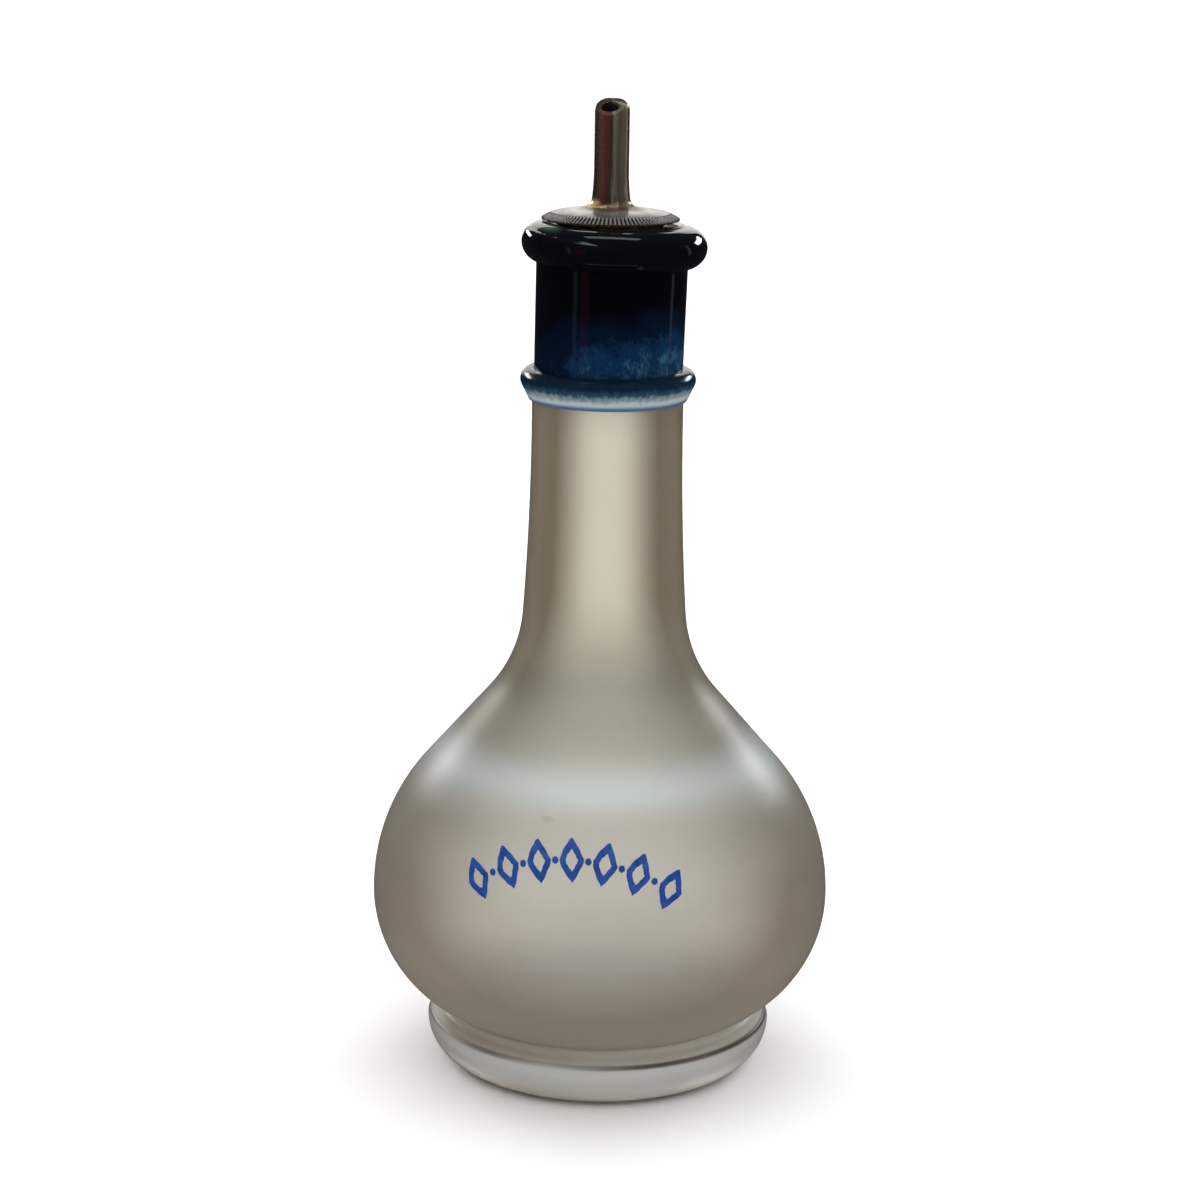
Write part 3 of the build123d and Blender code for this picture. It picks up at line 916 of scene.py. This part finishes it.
finish, shader, place, *_ = patterned("blue_enamel", (0.006, 0.05, 0.3), 0.4, IOR=1.5)
pool = noise(place, 700)
colour = blend(ramp(pool, 0.3, 0.7), (0.003, 0.035, 0.2), (0.01, 0.075, 0.36))
feed(shader, Base_Color=colour, Roughness=ramp(pool, 0.3, 0.7, 0.35, 0.5))
motifs = (
    ("enamel_lozenges", motif("lozenge", 4.3, 6.8, 1.2, 0.04, 0.5), 7, arch_start),
    ("enamel_dots", motif("dot", 1.1, 1.1, 2, 0.06), 6, arch_start + arch_pitch / 2),
)
for name, shape, count, start in motifs:
    values = {"Pitch": arch_pitch * MM, "Start": start * MM, "Crown": arch_crown * MM}
    values |= {"Sag": arch_sag / MM, "Count": count, "Finish": finish}
    piece = shaped_by(transfer, shape, name, values)
    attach(piece, "bottle")

# %% [markdown]
# ## The milled cap
# The cap is a low domed disc of plated brass. Its bevel is milled with fine V grooves, so that wet
# fingers can turn it. The turning tree already knows teeth: a groove depth sits on each point of
# the profile, and the tree cuts it by a triangle wave around the axis. The depths fade out at the
# bevel's upper end, as a milling wheel leaves them. The middle sweeps up in a skirt of solder that
# holds the spout.

# %% Profile of the cap
cap_bottom, cap_radius, cap_teeth, cap_hole = 154.7, 12.15, 96, 2.5
groove_depth, groove_inner, groove_fade, groove_low = 0.36, 10.3, 0.5, 0.36
bevel_inset, bevel_run, bevel_low, bevel_rise, bevel_bow = 0.04, 1.86, 155.12, 0.93, 0.85
cap_edge = [(11.9, 0), (12.08, 0.07), (cap_radius, 0.2), (cap_radius, 0.35)]
cap_edge = [(r, cap_bottom + up) for r, up in cap_edge]
cap_out = cap_radius - bevel_inset
rises = [bevel_low + bevel_rise * (n / 9) ** bevel_bow for n in range(10)]
bevel = [(cap_out - bevel_run * n / 9, rise) for n, rise in enumerate(rises)]
dome = [(9.3, 156.26), (8.2, 156.43), (7.2, 156.56), (6.3, 156.68), (5.5, 156.82), (4.9, 156.98)]
skirt = [(4.4, 157.14), (cap_hole, 157.14)]
cap_profile = [(cap_hole, cap_bottom)] + cap_edge + bevel + dome + skirt


def milling(points):
    """The groove's depth at each point: none on the dome and none underneath."""
    fades = [min(1, max(0, (r - groove_inner) / groove_fade)) for r, _ in points]
    milled = [z > cap_bottom + groove_low for _, z in points]
    return [groove_depth * fade if cut else 0 for fade, cut in zip(fades, milled)]


print("cap: %d points, %d grooves, %g mm deep" % (len(cap_profile), cap_teeth, groove_depth))

# %% [markdown]
# ## Worn plate
# Cap and spout are plated alike, with patches in the sheen and fine scratches. On the cap, the wave
# that cuts the grooves also paints the ridges bright as painted light and the grooves dark as
# painted shade.

# %% Cap
def worn_plate(name, metallic):
    """The start of both plated finishes: patches and fine scratches in sheen and relief."""
    finish, shader, place, x, y, z = patterned(name, (0.4, 0.38, 0.34), 0.3, Metallic=metallic)
    patch, fine = noise(place, 260, 4), noise(place, 2400)
    rough = ramp(patch, 0.3, 0.7, 0.16, 0.3), ramp(fine, 0.3, 0.7, -0.03, 0.05)
    feed(shader, Roughness=plus(*rough))
    grain(shader, fine, 0.1, 0.00003)
    return finish, shader, place, x, y, z, patch


finish, shader, _, x, y, z, patch = worn_plate("cap_plate", 0.8)
out = off_axis(x, y)
tooth = times(reckon("ARCTAN2", y, x), cap_teeth / (2 * pi))
groove = ramp(reckon("PINGPONG", tooth, 0.5), 0.16, 0.36)
on_bevel = times(ramp(out, 0.01, 0.0103), ramp(z, 0.15505, 0.1552))
top = blend(ramp(patch, 0.4, 0.65), (0.44, 0.46, 0.45), (0.26, 0.25, 0.22))
top = blend(ramp(out, 0.0072, 0.0102, 0, 0.6), top, (0.2, 0.18, 0.15))
top = blend(ramp(out, 0.0066, 0.0048), top, (0.22, 0.16, 0.09))
# Painted light on the ridges and painted shade in the grooves.
teeth = blend(groove, (0.62, 0.62, 0.6), (0.035, 0.024, 0.016))
colour = blend(on_bevel, top, teeth)
colour = blend(ramp(z, 0.1552, 0.15505), colour, (0.13, 0.095, 0.07))
feed(shader, Base_Color=colour)
cap = turned("milled_disc", cap_profile, finish, cap_teeth * 6, milling, cap_teeth, 25)
hand_over(cap, "dasher", "plated_metal", "milled_cap")

# %% [markdown]
# ## The spout
# The spout is a drawn tube, flared at its foot where it is soldered to the cap, with a round closed
# tip. The tip is sliced off aslant and pierced in the slice, so that drops fall one by one.

# %% Shapes of the spout
cap_top, spout_top, spout_radius, tip_round = 156.75, 175.75, 3.05, 2.1
waist_round, waist_height, slice_turn, slice_tilt, slice_down = 45, 163.85, -18, 38, 0.4
drip_radius, drip_top, socket_radius, socket_top = 1.85, 173.15, 2.5, 160.75
spout_waist = arc((spout_radius + waist_round, waist_height), waist_round, 180, 187, 8)
spout_flare = arc((4.874, 158.549), 1.5, 187, 255, 8)
spout_tip = arc((spout_radius - tip_round, spout_top - tip_round), tip_round, 0, 90, 10)
spout_side = [(4.486, cap_top)] + spout_flare[::-1] + spout_waist[::-1]
spout_bore = [(0, drip_top), (drip_radius, drip_top), (drip_radius, socket_top)]
spout_bore += [(socket_radius, socket_top), (socket_radius, cap_top)]
spout_profile = spout_side + spout_tip + [(0, spout_top)] + spout_bore
slice_lean = Matrix.Rotation(radians(slice_turn), 4, "Z")
slice_lean @= Matrix.Rotation(radians(slice_tilt), 4, "X")
slice_frame = Matrix.Translation(Vector((0, 0, spout_top - slice_down)) * MM) @ slice_lean


def cutter(name, outline, *heights):
    """A prism over an outline in the slice's plane, between heights along its normal."""
    rings = [[slice_frame @ (Vector((x, y, up)) * MM) for x, y in outline] for up in heights]
    return settle(through_rings(name, rings, False))


slicer = cutter("slicer", [(-6, -6), (6, -6), (6, 6), (-6, 6)], 0, 6)
hole_wide, hole_high, hole_down = 1.6, 1.2, 1.61
hole = [(cos(turn) * hole_wide, hole_high * sin(turn) - hole_down) for turn in around(40)]
piercer = cutter("piercer", hole, -3, 0.5)

# %% [markdown]
# ## The spout's metal
# The plate's colour goes by the angle about the axis, in upright streaks of brown, dark red, grey
# and pale: painted reflections of the room, made uneven by noise drawn out along the tube. After
# the cuts its skin is rebuilt from voxels and eased, which rounds the edges the way years of
# handling have.

# %% Spout
# Painted reflections of the room, as colours by the angle about the axis.
painted_reflection_stops = (
    (0, 0.1, 0.08, 0.06), (0.31, 0.05, 0.035, 0.028), (0.4, 0.13, 0.07, 0.05),
    (0.44, 0.15, 0.035, 0.03), (0.485, 0.06, 0.045, 0.035), (0.52, 0.25, 0.2, 0.15),
    (0.56, 0.12, 0.105, 0.075), (0.63, 0.16, 0.14, 0.1), (0.655, 0.36, 0.31, 0.24),
    (0.69, 0.05, 0.04, 0.03), (0.85, 0.14, 0.1, 0.07),
)

finish, shader, place, x, y, z, patch = worn_plate("spout_plate", 0.55)
run = ramp(streaked(place, 1500, 60), 0.25, 0.75, -0.16, 0.16)
turn = plus(reckon("ARCTAN2", x, times(y, -1)), run)
colour = stops(ramp(turn, -pi, pi), painted_reflection_stops)
# Bare brass at the spout's foot, on its left and front, which also serves as a painted golden
# glint.
bare_brass_and_glint = times(ramp(z, 0.1588, 0.1578), ramp(patch, 0.5, 0.6), ramp(x, 0.003, 0.0005))
feed(shader, Base_Color=blend(bare_brass_and_glint, colour, (0.75, 0.56, 0.28)))
blank = turned("spout_blank", spout_profile, finish, 96)
carve(blank, "DIFFERENCE", slicer, piercer)
melt(blank, 0.00014, 4)
spout = carved(blank, "dasher_spout", finish, (slicer, piercer), 180)
hand_over(spout, "dasher", "plated_metal", "spout")

# %% [markdown]
# ## The cork
# Under the cap sits a tapered cork, seen when the stopper is lifted: a dull tan, with pores as
# short dark slits, and darker where years of bitters have soaked its lower end.

# %% Cork
cork_hole, cork_top, cork_low = 2.52, 154.68, 132.72
cork_side = [(9.2, cork_top), (9.31, 154.55), (8.845, 133.35), (8.25, cork_low)]

finish, shader, place, _, _, z = patterned("stained_cork", (0.5, 0.34, 0.19), 0.85)
crumb = put("ShaderNodeTexVoronoi", {"Vector": place, "Scale": 1100})["Color"]
crumb = put("ShaderNodeSeparateColor", {0: crumb})[0]
colour = blend(crumb, (0.42, 0.27, 0.14), (0.6, 0.43, 0.26))
slit = ramp(streaked(place, 420, 160), 0.66, 0.72)
colour = blend(slit, colour, (0.1, 0.05, 0.025))
soak = ramp(noise(place, 200), 0.3, 0.7, -0.002, 0.002)
stain = times(ramp(plus(z, soak), 0.146, 0.134), 0.75)
feed(shader, Base_Color=blend(stain, colour, (0.13, 0.05, 0.02)))
relief = ramp(noise(place, 1500, 3), 0.3, 0.7, 0, 0.4)
grain(shader, minus(relief, slit), 0.6, 0.00025)
cork_profile = [(cork_hole, cork_top), *cork_side, (cork_hole, cork_low)]
cork = turned("tapered_cork", cork_profile, finish, 96)
hand_over(cork, "cork_plug", "cork", "cork")

# %% [markdown]
# ## The stem
# A brass tube goes down through the cork. The thread at its lower end isn't round: its radius
# follows height and angle together, so the stem is made as rings of points with a rule for their
# radius.

# %% Brass and the stem
finish, shader, place, *_ = patterned("dull_brass", (0.5, 0.36, 0.16), 0.38, Metallic=1.0)
tarnish = ramp(noise(place, 500, 4), 0.4, 0.68)
colour = blend(tarnish, (0.52, 0.38, 0.17), (0.2, 0.13, 0.06))
green = ramp(noise(place, 870, 3), 0.62, 0.75, 0, 0.5)
colour = blend(green, colour, (0.1, 0.17, 0.11))
feed(shader, Base_Color=colour, Roughness=ramp(tarnish, 0, 1, 0.28, 0.55))
grain(shader, noise(place, 1800, 3), 0.2, 0.00006)
brass = finish


def brass_body(name, rows, steps, hard_angle):
    """A closed body from rows of (radius, height), where a radius may be a rule by angle."""
    rings = []
    for radius, z in rows:
        rule = radius if callable(radius) else lambda turn, z: radius
        reach = [(rule(turn, z), turn) for turn in around(steps)]
        rings.append([Vector((r * cos(turn), r * sin(turn), z)) * MM for r, turn in reach])
    body = through_rings(name, rings, True)
    body.data.materials.append(brass)
    return settle(body, hard_angle)


thread_pitch, thread_depth, thread_long, thread_rows = 0.7, 0.3, 5, 70
stem_low, stem_top, stem_radius, stem_bore = 128.6, 160.7, 2.44, 1.8


def threaded(turn, z):
    """The stem's radius: a rounded thread low down that runs out above the washer."""
    wave = abs(((z / thread_pitch - turn / (2 * pi)) % 1) - 0.5) * 2
    fade = min(1, max(0, (133.5 - z) / 0.8)) * min(1, (z - stem_low) / 0.3)
    return stem_radius - thread_depth * wave * fade


stem_rows = [(threaded, stem_low + thread_long * n / thread_rows) for n in range(thread_rows + 1)]
stem_rows += [(2.45, 140), (2.45, stem_top)]
stem_rows += [(stem_bore, stem_top), (stem_bore, 140), (stem_bore, stem_low)]
stem = brass_body("stem_tube_threaded", stem_rows, 72, 30)
hand_over(stem, "dasher", "bare_brass", "stem_tube")

# %% [markdown]
# ## Washer and nut
# They draw the cork up against the cap. The washer is turned. The nut's radius follows a hexagon
# that a cone has trimmed at the corners.

# %% Washer and nut
washer_edge = arc((7.0, 132.1), 0.2, 0, -90, 5)
washer_profile = [(2.5, 132.69), (7.12, 132.69), (7.2, 132.6)] + washer_edge + [(2.5, 131.9)]
washer = turned("end_disc", washer_profile, brass, 96)
hand_over(washer, "dasher", "bare_brass", "end_washer")
nut_flat, nut_corner, nut_low, nut_high = 4.2, 4.85, 129.5, 131.88


def hexagon(trim):
    """A rule for a hexagon's radius at an angle, trimmed by a cone at its corners."""
    half = radians(30)
    return lambda turn, z: min(nut_flat / cos((turn % (2 * half)) - half), nut_corner - trim)


nut_rows = [(hexagon(0.5), nut_high), (hexagon(0), 131.66), (hexagon(0), 129.78)]
nut_rows += [(hexagon(0.55), nut_low), (2.9, nut_low)]
nut_rows += [(2.5, 129.75), (2.5, 131.65), (2.9, nut_high)]
nut = brass_body("hexagon_nut", nut_rows, 96, 25)
hand_over(nut, "dasher", "bare_brass", "stem_nut")
